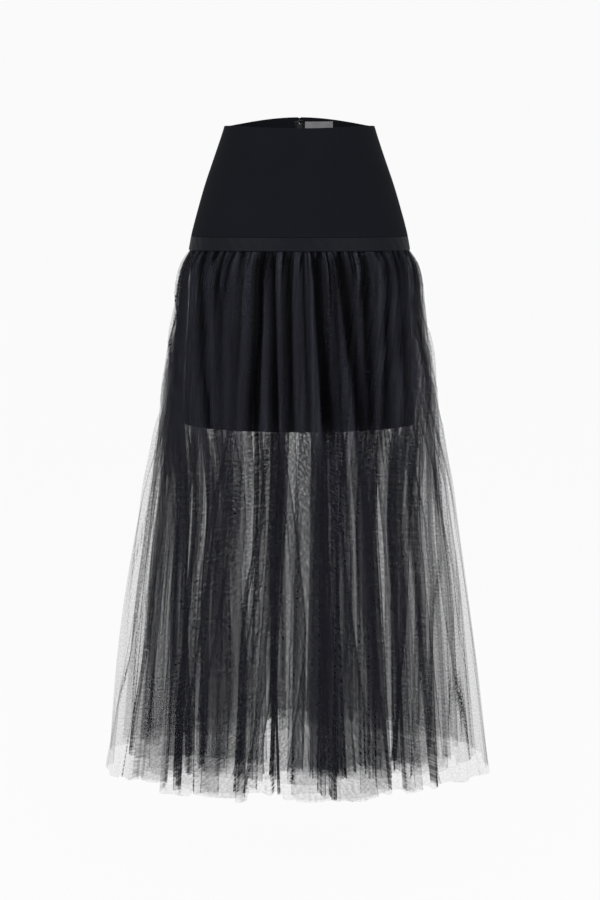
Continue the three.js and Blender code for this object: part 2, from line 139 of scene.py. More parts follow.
# Creases that the net and the lining under it share: angle at the seam and at the lining's hem,
# half width in degrees, and strength
FRONT_CREASES = np.array([
    (-74.0, -66.0, 1.8, 0.7),
    (-55.8, -38.5, 1.9, 0.9),
    (-41.0, -32.0, 1.3, 0.4),
    (-27.0, -26.5, 1.2, 0.35),
    (-17.8, -17.4, 2.3, 1.0),
    (-12.0, -8.6, 1.5, 0.7),
    (-4.5, -2.6, 1.4, 0.75),
    (1.5, 3.5, 1.2, 0.4),
    (6.8, 10.0, 2.1, 1.0),
    (15.5, 16.5, 1.2, 0.4),
    (18.0, 24.5, 2.2, 0.95),
    (31.0, 29.0, 1.8, 0.8),
    (46.0, 35.8, 1.8, 0.8),
    (56.0, 46.5, 1.8, 0.6),
    (70.0, 63.0, 2.0, 0.7),
])
BACK_CREASES = np.array([
    (88.0, 86.0, 2.0, 0.8),
    (101.0, 104.0, 1.6, 0.5),
    (113.0, 118.0, 2.2, 1.0),
    (127.0, 126.0, 1.5, 0.6),
    (139.0, 143.0, 2.1, 0.9),
    (152.0, 150.0, 1.6, 0.5),
    (162.0, 166.0, 2.2, 1.0),
    (175.0, 176.0, 1.6, 0.6),
    (188.0, 184.0, 2.0, 0.9),
    (203.0, 205.0, 1.8, 0.7),
    (216.0, 213.0, 2.3, 1.0),
    (231.0, 236.0, 1.7, 0.6),
    (244.0, 243.0, 2.0, 0.9),
    (259.0, 262.0, 1.8, 0.7),
    (273.0, 272.0, 2.0, 0.8),
])
CREASES = np.concatenate([FRONT_CREASES, BACK_CREASES])
# How much wider they are than the tables say, how much faster they end on their steep side and on
# their gentle side, their strength and shape, and how deep they are
CREASE_SPREAD = 1.35
CREASE_STEEP = 3.2
CREASE_GENTLE = 0.7
CREASE_SWELL = 1.7
CREASE_ROUNDNESS = 1.7
NET_CREASE_DEPTH = 6.0
LINING_CREASE_DEPTH = 4.5

# Shorter creases, the pinches, that run down from the seam: how many round the skirt, half width
# in degrees, strength, and length as a share of the lining's
SHORT_CREASES = [
    (52, 0.75, 0.85, 0.45),
    (104, 0.55, 1.0, 0.2),
]
PINCH_SEED = 5
PINCH_STRENGTH = 1.5
PINCH_DEPTH = 1.5
PINCH_STEEP = 2
PINCH_GENTLE = 0.7
# How far they lean, in degrees shared out among all of them
PINCH_LEAN = 100
# They fan out from points at the seam, by an angle and over a height
FAN_SPREAD = 0.02
FAN_REACH = 14

# The layers of net, from the outside in: hem level, cut width, gathers in each fold, and the seed
# of the curves that are its own
NET_LAYERS = [
    {"name": "tulle_outer", "hem": OUTER_HEM, "cut": 2900.0, "gathers": 3, "seed": 11},
    {"name": "tulle_middle", "hem": -955.0, "cut": 3700.0, "gathers": 4, "seed": 23},
    {"name": "tulle_inner", "hem": -941.0, "cut": 4300.0, "gathers": 4, "seed": 37},
]
NET_FOLDS = 24
NET_COLUMNS = 2300
NET_ROWS = 42
SHARED_SEED = 17
# How far a fold strays from its even place, as a phase, and the turns that it strays on its way
# down: what all layers share, then what each adds, and a gather's stray
FOLD_JITTER = 1.8
FOLD_DRIFT = 0.5
OWN_JITTER = 1.2
OWN_DRIFT = 0.25
GATHER_JITTER = 1.6
# How far the panels' hems step up and down, and how far above the hem's level they end on average
HEM_STEP = 9.0
HEM_LIFT = 7.0
# How soon the folds open below the seam, and the share of their cloth that they take up
PANEL_OPENING = 0.45
PANEL_SLACK = 0.82
# The share of the folds' cloth that stays in small gathers beside the lining
SIDE_GATHERS = 0.75
# How far in some folds are set, as a share of the folds' depth
SET_BACK = 0.45
# Over the lining each layer of net has the room down to it less a clearance that shrinks for each
# layer inwards, but has at least some. Below the lining's hem it is soon free of that.
NET_CLEARANCE = 1.2
LAYER_CLEARANCE = 0.4
LEAST_ROOM = 0.6
FREE_ROOM = 200
FREED_BY = 40
# The mesh's rows lie closer together near the seam, and the hems' steps fade out upwards
ROW_CROWDING = 1.4
HEM_FADING = 4
# Seed and number of the painted highlight's streaks round the skirt
STREAK_SEED = 3
STREAK_WAVES = (120, 420)
# Sharp edges of folds: how many threads thick, and width and strength in each layer
CREASED_EDGE = 11.0
EDGE_WIDTHS = [0.06, 0.07, 0.09]
EDGE_STRENGTHS = [1.2, 1.0, 0.6]
SMALL_EDGE_WIDTH = 0.07
# What one layer of flat net hides, as an optical depth. It is multiplied by how closely its
# threads are packed and divided by how much the net slants, within these limits.
NET_CROSSING = 0.139
MOST_PACKED = 5
LEAST_SLANT = 0.09
# Size and contrast of the net's holes, and of the grain that its crossed layers make
NET_CELL = 1.9
HOLE_CONTRAST = 0.06
NET_GRAIN = 3.2
GRAIN_RADIUS = 220.0
COVER_GRAIN = 1.6
SHADE_GRAIN = 1.4
GRAIN_RISE = 60.0
# Painted light in the net's colour below the lining and in its deepest creases, on plain cloth
# over the lining, and how much more painted highlight there is on a ridge, in streaks and under
# the seam.
# Grooves of folds get painted shade.
SHADE_BELOW = 0.31
DEEPEST_SHADE = 0.05
PLAIN_LIGHT = 0.43
RIDGE_LIGHT = 0.42
RIDGE_ANGLE = 4.5
STREAKS = 0.25
SEAM_LIGHT = 0.7
SEAM_LIGHT_REACH = 25
GROOVE_PAINTED_SHADE = 0.3


def table_at(sections, levels):
    """Every column of a table of sections at each level, on smooth curves without overshoot."""
    rows = sections[::-1]
    known = rows[:, 0]
    steps = np.diff(known)[:, None]
    slopes = np.diff(rows, axis=0) / steps
    tangents = np.vstack([slopes[:1], (slopes[1:] + slopes[:-1]) / 2, slopes[-1:]])
    turning = slopes[1:] * slopes[:-1] <= 0
    tangents[1:-1][turning] = 0
    levels = np.clip(np.asarray(levels, float), known[0], known[-1])
    i = np.clip(np.searchsorted(known, levels) - 1, 0, len(known) - 2)
    step = steps[i]
    t = ((levels - known[i])[..., None]) / step
    return (
        (2 * t**3 - 3 * t**2 + 1) * rows[i]
        + (t**3 - 2 * t**2 + t) * step * tangents[i]
        + (3 * t**2 - 2 * t**3) * rows[i + 1]
        + (t**3 - t**2) * step * tangents[i + 1]
    )


def smoothstep(low, high, value):
    t = np.clip((value - low) / (high - low), 0, 1)
    return t * t * (3 - 2 * t)


def oval_points(half_width, half_depth, angle, inset, level):
    """Points of an oval, moved in along its normal, in millimetres."""
    across, back = np.sin(angle), -np.cos(angle)
    normal_x, normal_y = across / half_width, back / half_depth
    length = np.hypot(normal_x, normal_y)
    x = half_width * across - inset * normal_x / length
    y = half_depth * back - inset * normal_y / length
    return np.stack([x, y, np.broadcast_to(level, x.shape)], axis=-1)


def grid_faces(rows, columns, start=0, ring=False, flip=False):
    """Quads of a grid of points stored row by row. A ring joins its last column to its first."""
    row = np.arange(rows - 1)[:, None] * columns
    column = np.arange(columns if ring else columns - 1)[None, :]
    beside = (column + 1) % columns
    under = row + columns
    quads = np.stack([row + column, under + column, under + beside, row + beside], -1)
    quads = quads.reshape(-1, 4) + start
    return quads[:, ::-1] if flip else quads


def add_uv(mesh, name, uv):
    layer = mesh.uv_layers.new(name=name)
    corner = np.zeros(len(mesh.loops), np.int32)
    mesh.loops.foreach_get("vertex_index", corner)
    layer.data.foreach_set("uv", (uv[corner] * MM).astype(np.float32).ravel())


def make_piece(name, points, faces, material, uv=None, replaces=()):
    """A smooth mesh piece from points in millimetres, riding on the skirt."""
    mesh = bpy.data.meshes.new(name)
    mesh.from_pydata((points * MM).tolist(), [], [list(map(int, face)) for face in faces])
    mesh.polygons.foreach_set("use_smooth", np.ones(len(mesh.polygons), bool))
    if uv is not None:
        add_uv(mesh, "cloth", uv)
    mesh.materials.append(material)
    mesh.validate()
    piece = bpy.data.objects.new(name, mesh)
    bpy.context.scene.collection.objects.link(piece)
    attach(piece, BODY)
    if replaces:
        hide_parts(*replaces)
    return piece


# Materials

def new_material(name, color, roughness, specular, **inputs):
    material = bpy.data.materials.new(name)
    material.use_nodes = True
    shader = material.node_tree.nodes["Principled BSDF"]
    shader.inputs["Base Color"].default_value = (*color, 1)
    shader.inputs["Roughness"].default_value = roughness
    shader.inputs["Specular IOR Level"].default_value = specular
    for socket, value in inputs.items():
        shader.inputs[socket.replace("_", " ")].default_value = value
    return material


class Nodes:
    """Short calls that add nodes to one material."""

    def __init__(self, material):
        self.tree = material.node_tree
        self.shader = self.tree.nodes["Principled BSDF"]

    def link(self, source, target):
        self.tree.links.new(source, target)

    def add(self, kind, **settings):
        node = self.tree.nodes.new(kind)
        for key, value in settings.items():
            setattr(node, key, value)
        return node

    def math(self, operation, first, second=None):
        node = self.add("ShaderNodeMath", operation=operation)
        for socket, value in zip(node.inputs, (first, second)):
            if value is None:
                continue
            if isinstance(value, (int, float)):
                socket.default_value = value
            else:
                self.link(value, socket)
        return node.outputs[0]

    def noise(self, coordinates, scale, detail=2.0, roughness=0.5):
        node = self.add("ShaderNodeTexNoise")
        node.inputs["Scale"].default_value = scale
        node.inputs["Detail"].default_value = detail
        node.inputs["Roughness"].default_value = roughness
        self.link(coordinates, node.inputs["Vector"])
        return node.outputs["Fac"]

    def flat_noise(self, coordinates, scale):
        node = self.add("ShaderNodeTexNoise", noise_dimensions="2D")
        node.inputs["Scale"].default_value = scale
        node.inputs["Detail"].default_value = 0.0
        self.link(coordinates, node.inputs["Vector"])
        return node.outputs["Fac"]

    def ramp_color(self, factor, dark, light):
        node = self.add("ShaderNodeMix", data_type="RGBA")
        node.inputs["A"].default_value = (*dark, 1)
        node.inputs["B"].default_value = (*light, 1)
        self.link(factor, node.inputs["Factor"])
        self.link(node.outputs["Result"], self.shader.inputs["Base Color"])

    def bump(self, height, strength, distance):
        node = self.add("ShaderNodeBump")
        node.inputs["Strength"].default_value = strength
        node.inputs["Distance"].default_value = distance
        self.link(height, node.inputs["Height"])
        self.link(node.outputs["Normal"], self.shader.inputs["Normal"])


def shades(color, spread):
    """A darker and a lighter shade of a colour."""
    return [tuple(channel * factor for channel in color) for factor in (1 - spread, 1 + spread)]


def crepe(name, color, roughness, specular):
    """Smooth matt crepe: a fine pebbled grain with faint broad shading."""
    material = new_material(name, color, roughness, specular)
    nodes = Nodes(material)
    place = nodes.add("ShaderNodeTexCoord").outputs["Object"]
    grain = nodes.noise(place, 1800, 3, 0.6)
    broad = nodes.noise(place, 9, 2)
    mixed = nodes.math("MULTIPLY", nodes.math("ADD", grain, broad), 0.5)
    nodes.ramp_color(mixed, *shades(color, 0.35))
    nodes.bump(grain, 0.35, 0.0002)
    return material


def ribbed_satin(name, color, roughness, specular, rib, axis):
    """Satin or ribbon with fine ribs a distance apart, along one axis of the cloth."""
    material = new_material(name, color, roughness, specular)
    nodes = Nodes(material)
    cloth = nodes.add("ShaderNodeUVMap", uv_map="cloth").outputs["UV"]
    split = nodes.add("ShaderNodeSeparateXYZ")
    nodes.link(cloth, split.inputs[0])
    turns = nodes.math("MULTIPLY", split.outputs[axis], 2 * math.pi / (rib * MM))
    ribs = nodes.math("SINE", turns)
    place = nodes.add("ShaderNodeTexCoord").outputs["Object"]
    slubs = nodes.noise(place, 60, 3)
    nodes.ramp_color(slubs, *shades(color, 0.3))
    nodes.bump(ribs, 0.25, 0.0001)
    return material


def worn_metal(name, color, roughness, specular, **inputs):
    """Lacquered or plated metal with a slightly uneven tone and polish."""
    material = new_material(name, color, roughness, specular, **inputs)
    nodes = Nodes(material)
    place = nodes.add("ShaderNodeTexCoord").outputs["Object"]
    uneven = nodes.noise(place, 900, 3)
    nodes.ramp_color(uneven, *shades(color, 0.2))
    gloss = nodes.math("ADD", nodes.math("MULTIPLY", uneven, 0.2), roughness - 0.1)
    nodes.link(gloss, nodes.shader.inputs["Roughness"])
    nodes.bump(uneven, 0.15, 0.0001)
    return material


def net_material(name, color):
    """Sheer net. Its threads cover more where the cloth turns edge on, as the mesh's cover says,
    and its colour holds painted shade down in its creases and painted highlights beside them, as
    the mesh's shade says."""
    material = new_material(name, color, 0.8, 0.0)
    nodes = Nodes(material)
    cloth = nodes.add("ShaderNodeUVMap", uv_map="cloth").outputs["UV"]
    # Three sets of waves a third of a turn apart make the six-sided holes
    waves = []
    for turn in (0.0, 1 / 3, 2 / 3):
        angle = math.pi * turn
        per_metre = 2 * math.pi / (NET_CELL * MM)
        phase = nodes.add("ShaderNodeVectorMath", operation="DOT_PRODUCT")
        across, along = per_metre * math.cos(angle), per_metre * math.sin(angle)
        phase.inputs[1].default_value = (across, along, 0)
        nodes.link(cloth, phase.inputs[0])
        waves.append(nodes.math("COSINE", phase.outputs["Value"]))
    total = nodes.math("ADD", nodes.math("ADD", waves[0], waves[1]), waves[2])
    holes = nodes.math("MULTIPLY", total, -HOLE_CONTRAST)
    # The layers' threads cross into a grain that runs through all of them
    through = nodes.add("ShaderNodeUVMap", uv_map="through").outputs["UV"]
    crossed = nodes.flat_noise(through, 1 / (NET_GRAIN * MM))
    grain = nodes.math("SUBTRACT", crossed, 0.5)
    uneven = nodes.math("MULTIPLY", grain, COVER_GRAIN)
    pattern = nodes.math("ADD", nodes.math("ADD", holes, uneven), 1.0)
    cover = nodes.add("ShaderNodeAttribute", attribute_name="cover").outputs["Fac"]
    nodes.link(nodes.math("MULTIPLY", cover, pattern), nodes.shader.inputs["Alpha"])
    shade = nodes.add("ShaderNodeAttribute", attribute_name="shade").outputs["Fac"]
    # Over the dark lining the grain doesn't show, so it starts at the lining's hem
    height = nodes.add("ShaderNodeSeparateXYZ")
    nodes.link(through, height.inputs[0])
    below = nodes.add("ShaderNodeMapRange")
    below.inputs["From Min"].default_value = LINING_HEM * MM
    below.inputs["From Max"].default_value = (LINING_HEM - GRAIN_RISE) * MM
    below.inputs["To Max"].default_value = SHADE_GRAIN
    nodes.link(height.outputs[1], below.inputs["Value"])
    speckle = nodes.math("ADD", nodes.math("MULTIPLY", grain, below.outputs["Result"]), 1.0)
    # The colour runs from the painted deepest shade to the net's colour under full painted light
    deepest = tuple(DEEPEST_SHADE * channel for channel in color)
    nodes.ramp_color(nodes.math("MULTIPLY", shade, speckle), deepest, color)
    return material


YOKE_COLOR = (0.0042, 0.0046, 0.0064)
BAND_COLOR = (0.0032, 0.0036, 0.0056)
LINING_COLOR = (0.0024, 0.0026, 0.0035)
NET_COLOR = (0.0268, 0.0274, 0.0362)

yoke_cloth = crepe("yoke_crepe", YOKE_COLOR, 0.85, 0.04)
band_cloth = ribbed_satin("band_ribbon", BAND_COLOR, 0.55, 0.06, 1.1, 0)
lining_cloth = ribbed_satin("lining_satin", LINING_COLOR, 0.5, 0.05, 0.6, 1)
net_cloth = net_material("black_net", NET_COLOR)
tape_cloth = ribbed_satin("zip_tape_weave", (0.008, 0.0085, 0.0103), 0.8, 0.1, 0.8, 1)
label_cloth = ribbed_satin("label_weave", (0.13, 0.13, 0.137), 0.6, 0.3, 0.5, 1)
black_metal = worn_metal("black_lacquer", (0.012, 0.012, 0.013), 0.35, 0.5)
bright_metal = worn_metal("nickel", (0.45, 0.45, 0.47), 0.25, 0.5, Metallic=1.0)


# Smooth panels of the yoke, band, lining, tapes and label

def edge_positions(length, step, roll):
    """Places along a length, in millimetres, with extra ones where its two edges roll over."""
    rolled = roll * (1 - np.cos(np.linspace(0, math.pi / 2, 4)))
    middle = np.linspace(roll, length - roll, max(2, int(round(length / step)) + 1))
    return np.concatenate([rolled[:-1], middle, length - rolled[:-1][::-1]])


def edge_roll(distance, roll):
    """How far a face drops towards the middle of the cloth, near an edge."""
    inside = np.clip(roll - distance, 0, roll)
    return roll - np.sqrt(np.maximum(roll**2 - inside**2, 0))


def panel(
    name, sections, ends, top, bottom, inset, wall, material, slot, step=3.0, relief=None,
    declared=True,
):
    """A closed panel of cloth with rolled edges, between two end angles given by functions of the
    half width and half depth. top gives the level of its upper edge for each angle."""
    roll = wall / 2
    middle_angle = sum(edge(sections[0, 1], sections[0, 2]) for edge in ends) / 2
    upper = float(top(np.array(middle_angle)))
    height = upper - bottom
    middle_row = table_at(sections, (upper + bottom) / 2)
    start, end = (ends[i](middle_row[1], middle_row[2]) for i in (0, 1))
    width = abs(end - start) * (middle_row[1] + middle_row[2]) / 2
    flare = np.diff(table_at(sections, [upper, bottom])[:, 1:], axis=0).mean()
    across = edge_positions(width, step, roll)
    downward = edge_positions(height, step, roll)
    share = across / width
    guess = start + (end - start) * share
    levels = top(guess)[None, :] + (bottom - top(guess)[None, :]) * (downward / height)[:, None]
    rows = table_at(sections, levels)
    half_width, half_depth = rows[..., 1], rows[..., 2]
    first, last = ends[0](half_width, half_depth), ends[1](half_width, half_depth)
    angle = first + (last - first) * share[None, :]
    edge_across = np.minimum(across, width - across)[None, :]
    edge_down = np.minimum(downward, height - downward)[:, None]
    drop = np.minimum(edge_roll(edge_across, roll) + edge_roll(edge_down, roll), roll * 0.98)
    swell = relief(angle, levels) if relief else 0.0
    outer = oval_points(half_width, half_depth, angle, inset - swell + drop, levels)
    inner = oval_points(half_width, half_depth, angle, inset - swell + wall - drop, levels)
    rows_count, columns = levels.shape
    points = np.concatenate([outer.reshape(-1, 3), inner.reshape(-1, 3)])
    count = rows_count * columns
    faces = [grid_faces(rows_count, columns), grid_faces(rows_count, columns, count, flip=True)]
    borders = [
        np.arange(columns),
        np.arange(rows_count) * columns + columns - 1,
        (rows_count - 1) * columns + np.arange(columns)[::-1],
        (np.arange(rows_count) * columns)[::-1],
    ]
    for border in borders:
        a, b = border[:-1], border[1:]
        faces.append(np.stack([a, b, b + count, a + count], -1))
    along = np.broadcast_to(across, levels.shape)
    uv = np.tile(np.stack([along, levels], -1).reshape(-1, 2), (2, 1))
    piece = make_piece(name, points, np.concatenate(faces), material, uv, [cad_node(name)])
    return piece


def cad_node(name):
    """The CAD node that a piece of the scene stands for."""
    return name.replace("_cloth", "")


def side_seam(side, towards_back):
    """The two halves are sewn edge to edge, and press into each other a little."""
    return lambda half_width, half_depth: side * (
        math.pi / 2 - towards_back * SEAM_PRESS / 2 / half_depth
    )


def beside_back(side, distance):
    return lambda half_width, half_depth: side * (math.pi - np.arcsin(distance / half_width))


def zip_edge(side):
    """The halves part for the zip's slider, and meet above it, where the skirt is narrower."""
    def end(half_width, half_depth):
        parted = smoothstep(MEETING_HALF_WIDTH, PARTED_HALF_WIDTH, half_width)
        gap = MEETING_GAP + (ZIP_GAP - MEETING_GAP) * parted
        return beside_back(side, gap / 2)(half_width, half_depth)
    return end


def waist_edge(angle):
    facing = np.cos(angle)
    beside = np.abs(HIP_SECTIONS[1, 1] * np.sin(angle))
    notch = NOTCH_DEPTH * np.clip(1 - beside / NOTCH_HALF_WIDTH, 0, 1)
    return np.where(facing > 0, -WAIST_FRONT_DIP * facing**2, WAIST_BACK_RISE * facing**2 - notch)


def level_edge(level):
    return lambda angle: np.full(np.shape(angle), level)


def yoke_relief(angle, levels):
    """Faint broad unevenness of the cloth, with slight pulls where it is sewn to the band."""
    broad = 0.35 * np.sin(3.1 * angle + 0.011 * levels) * np.sin(0.023 * levels + 1.7 * angle)
    near_seam = np.exp((BAND_TOP - levels) / 9.0)
    pulls = 0.18 * near_seam * np.sin(61 * angle + np.sin(17 * angle))
    return broad * smoothstep(0, 25, -levels) + pulls


def share_of_lining(angle, levels):
    """How far down the lining a level is, for each angle."""
    down = np.clip((BAND_BOTTOM - np.asarray(levels, float)) / (BAND_BOTTOM - LINING_HEM), 0, 1.4)
    return np.broadcast_to(down, np.shape(angle))[..., None]


def creases(angle, levels):
    """How deep a place is in the creases that the net and the lining share, from 0 to 1."""
    degrees = np.degrees(angle)[..., None]
    down = share_of_lining(angle, levels)
    middle = CREASES[:, 0] + (CREASES[:, 1] - CREASES[:, 0]) * down
    away = (degrees - middle + 180) % 360 - 180
    # A crease has one steep side and one that rolls over gently
    gentle = away * np.sign(CREASES[:, 1] + 0.1) > 0
    away = away * np.where(gentle, CREASE_GENTLE, CREASE_STEEP)
    swell = CREASE_SWELL + 0.25 * np.sin(5 * down + 40 * CREASES[:, 3] + CREASES[:, 0])
    reach = np.abs(away / CREASES[:, 2] / CREASE_SPREAD)
    each = CREASES[:, 3] * swell * np.exp(-(reach**CREASE_ROUNDNESS))
    start = smoothstep(-0.02, 0.05, down[..., 0])
    return start * np.clip(1 - np.prod(1 - np.clip(each, 0, 1), axis=-1), 0, 1)


def scatter_creases():
    """Angle at the seam and at the crease's end, half width, strength and length of each short
    crease. Each leans a little, so that neighbours meet in points."""
    rng = np.random.default_rng(PINCH_SEED)
    rows = []
    for count, width, strength, length in SHORT_CREASES:
        angle = (np.arange(count) + rng.uniform(-0.4, 0.4, count)) * 360 / count
        end = angle + rng.uniform(-1, 1, count) * PINCH_LEAN / count
        sizes = rng.uniform(0.6, 1.3, (3, count))
        rows.append(np.stack([
            angle, end, width * sizes[0], np.minimum(strength * sizes[1], 1), length * sizes[2]
        ], -1))
    return np.concatenate(rows)


PINCHES = scatter_creases()


def band_relief(angle, levels):
    return 0.16 * np.sin(47 * angle + 0.25 * levels) + 0.12 * np.sin(23 * angle)


def lining_relief(angle, levels):
    """The lining hangs in shallow waves, and dips where the net over it is creased."""
    grow = smoothstep(BAND_BOTTOM, LINING_HEM, levels)
    waves = 0.8 * grow * (1 + np.sin(9 * angle + 0.7) * np.cos(4 * angle))
    return -waves - LINING_CREASE_DEPTH * creases(angle, levels)


HIP_PANELS = {
    "front": (side_seam(-1, -1), side_seam(1, -1)),
    "back_right": (side_seam(1, 1), zip_edge(1)),
    "back_left": (zip_edge(-1), side_seam(-1, 1)),
}
for part, ends in HIP_PANELS.items():
    panel(
        f"yoke_{part}_cloth", HIP_SECTIONS, ends, waist_edge, BAND_TOP + SEAM_GAP / 4, 0.0,
        YOKE_WALL, yoke_cloth, "yoke_cloth", relief=yoke_relief,
    )
    panel(
        f"hip_band_{part}_cloth", HIP_SECTIONS, ends, level_edge(BAND_TOP - SEAM_GAP / 4),
        BAND_BOTTOM + SEAM_GAP / 2, 0.0, YOKE_WALL, band_cloth, "band_cloth", step=2.0,
        relief=band_relief,
    )

LINING_ENDS = {
    "front": (side_seam(-1, -1), side_seam(1, -1)),
    "back": (side_seam(1, 1), lambda w, d: 2 * math.pi + side_seam(-1, 1)(w, d)),
}
for part, ends in LINING_ENDS.items():
    panel(
        f"lining_{part}_cloth", LINING_SECTIONS, ends, level_edge(BAND_BOTTOM + SEAM_ALLOWANCE),
        LINING_HEM, 0.0, LINING_WALL, lining_cloth, "lining_cloth", step=2.5, relief=lining_relief,
    )


# Net

def bessel(order, argument):
    """Bessel function of a whole order, as the mean of a cosine round a turn."""
    turn = (np.arange(48) + 0.5) * math.pi / 48
    return np.mean(np.cos(order * turn - argument[..., None] * np.sin(turn)), axis=-1)


# A fold whose direction swings by an angle covers this share of its cloth's width
SWINGS = np.linspace(0, 2.25, 200)
SWING_COVERS = bessel(0, SWINGS)
SWING_SHAPES = {order: bessel(order, SWINGS) for order in (1, 2, 3, 4)}


def meander(share, phase, cloth_width):
    """Sideways shift and outward place, in millimetres, on a fold that squeezes a width of cloth
    into a share of it. The phase is 0 in a groove and pi on a crest."""
    swing = np.interp(-share, -SWING_COVERS, SWINGS)
    j1, j2, j3, j4 = (np.interp(swing, SWINGS, SWING_SHAPES[order]) for order in (1, 2, 3, 4))
    scale = cloth_width / (2 * math.pi)
    sideways = scale * (j2 * np.sin(2 * phase) + j4 / 2 * np.sin(4 * phase))
    outward = scale * (-2 * j1 * np.cos(phase) - 2 / 3 * j3 * np.cos(3 * phase))
    reach = scale * (2 * j1 + 2 / 3 * j3)
    return sideways, outward, reach


def zigzag(phase):
    """A wave between -1 and 1 with straight sides and turns that are slightly rounded."""
    sharpness = 0.985
    return np.arcsin(sharpness * np.sin(phase)) / math.asin(sharpness)


def wander(turn, rng, waves, count=6):
    """A smooth random curve round the skirt, between about -1 and 1."""
    total = 0.0
    for wave in rng.choice(np.arange(waves[0], waves[1] + 1), count, replace=False):
        total = total + np.sin(wave * turn + rng.uniform(0, 2 * math.pi))
    return total / math.sqrt(count / 2) / 1.4


ALL_ROUND = np.linspace(-math.pi, math.pi, 4321)


def spread_cloth(level, half_width, half_depth, core, cut):
    """Length of cloth used up on the way round a layer, and of its oval, from the back centre. The
    cloth is nearly even at the seam, and lower down most of it crowds into the front and back."""
    angle = (ALL_ROUND[1:] + ALL_ROUND[:-1]) / 2
    step = ALL_ROUND[1] - ALL_ROUND[0]
    across = half_width * np.sin(angle)
    front = np.cos(angle) > 0
    oval = np.hypot(half_width * np.cos(angle), half_depth * np.sin(angle)) * step
    down = np.clip((LINING_HEM - level) / (LINING_HEM - OUTER_HEM), -0.3, 1)
    bunching = np.ones_like(angle)
    for top, bottom, width, share, side in BUNCHES:
        middle = top + (bottom - top) * down
        bunch = 1 + (share - 1) * np.exp(-(((across - middle) / width) ** 2))
        bunching = np.where(front == (side > 0), bunching * bunch, bunching)
    bunching = 1 + (bunching - 1) * smoothstep(BAND_BOTTOM, LINING_HEM, level)
    crowding = smoothstep(core + CORE_SOFTNESS, core - CORE_SOFTNESS, np.abs(across - CORE_MIDDLE))
    crowding = crowding * np.where(front, 1, BACK_SHARE) * bunching
    seen = np.abs(half_width * np.cos(angle)) * step
    low, high = 0.0, 60.0
    for _ in range(30):
        crossings = (low + high) / 2
        crowded = np.maximum(crossings * crowding * seen, LEAST_SLACK * oval)
        low, high = (crossings, high) if crowded.sum() < cut else (low, crossings)
    even = np.maximum(oval * bunching * cut / oval.sum(), LEAST_SLACK * oval)
    even = even * cut / even.sum()
    settled = smoothstep(BAND_BOTTOM, NET_SPREAD_BY, level)
    settled = SPREAD_AT_SEAM + (1 - SPREAD_AT_SEAM) * settled
    cloth = even + (crowded * cut / crowded.sum() - even) * settled
    return [np.concatenate([[0], np.cumsum(part)]) for part in (cloth, oval)]


def pinches(angle, level):
    """How deep a place is in the small gathers under the seam, from 0 to 1. They run into larger
    ones within a few centimetres."""
    degrees = np.degrees(angle)[..., None]
    down = share_of_lining(angle, level)
    table = PINCHES[PINCHES[:, 4] > down.min()]
    if len(table) == 0:
        return np.zeros_like(angle)
    gone = down / table[:, 4]
    middle = table[:, 0] + (table[:, 1] - table[:, 0]) * gone
    away = (degrees - middle + 180) % 360 - 180
    away = away * np.where(away > 0, PINCH_GENTLE, PINCH_STEEP)
    reach = np.abs(away) / (table[:, 2] * (1.25 - np.minimum(gone, 1)))
    each = PINCH_STRENGTH * table[:, 3] * smoothstep(1.0, 0.3, gone) * np.exp(-(reach**2))
    return 1 - np.prod(1 - np.clip(each, 0, 1), axis=-1)


def fanned(angle, level):
    """The angle at which each line of a gather starts at the seam, where the lines meet."""
    below = BAND_BOTTOM - level
    meeting = 0.7 * np.sin(38 * angle + 1.8 * np.sin(9 * angle)) + 0.3 * np.sin(71 * angle)
    return angle - FAN_SPREAD * meeting * math.exp(-below / FAN_REACH)


def net_shade(angle, level, creased):
    """Painted light and shade in the net's colour: painted shade down in a crease, and a painted
    highlight on the ridge beside it. Below the lining, where light comes through from behind, it
    is even."""
    over_lining = 1 - smoothstep(-LINING_HEM - 20, -LINING_HEM + 60, -level)
    # Painted highlight on the ridge beside each crease, painted shade in the creases and pinches,
    # and painted highlights in streaks and under the seam
    ridge = creases(angle + math.radians(RIDGE_ANGLE), level) * (1 - creased)
    start = fanned(angle, level)
    streaks = 1 + STREAKS * wander(start, np.random.default_rng(STREAK_SEED), STREAK_WAVES, 10)
    seam_highlight = 1 + SEAM_LIGHT * math.exp((level - BAND_BOTTOM) / SEAM_LIGHT_REACH)
    lit = (PLAIN_LIGHT + RIDGE_LIGHT * ridge) * (1 - pinches(start, level)) * streaks * seam_highlight
    return SHADE_BELOW + (lit * (1 - creased) - SHADE_BELOW) * over_lining


def hem_steps(phase, panels, rng):
    """Each panel between two folds ends in an almost straight line at its own level."""
    index = phase / math.pi - 0.5
    panel = np.floor(index).astype(int)
    share = index - panel
    ends = HEM_STEP * np.stack([rng.uniform(-1, 1, panels), rng.uniform(-1, 1, panels)])
    ends[1] = ends[0] + 0.5 * ends[1]
    here = ends[0][panel % panels] * (1 - share) + ends[1][panel % panels] * share
    turned = smoothstep(0.0, 0.08, share)
    before = ends[1][(panel - 1) % panels]
    return before + (here - before) * turned


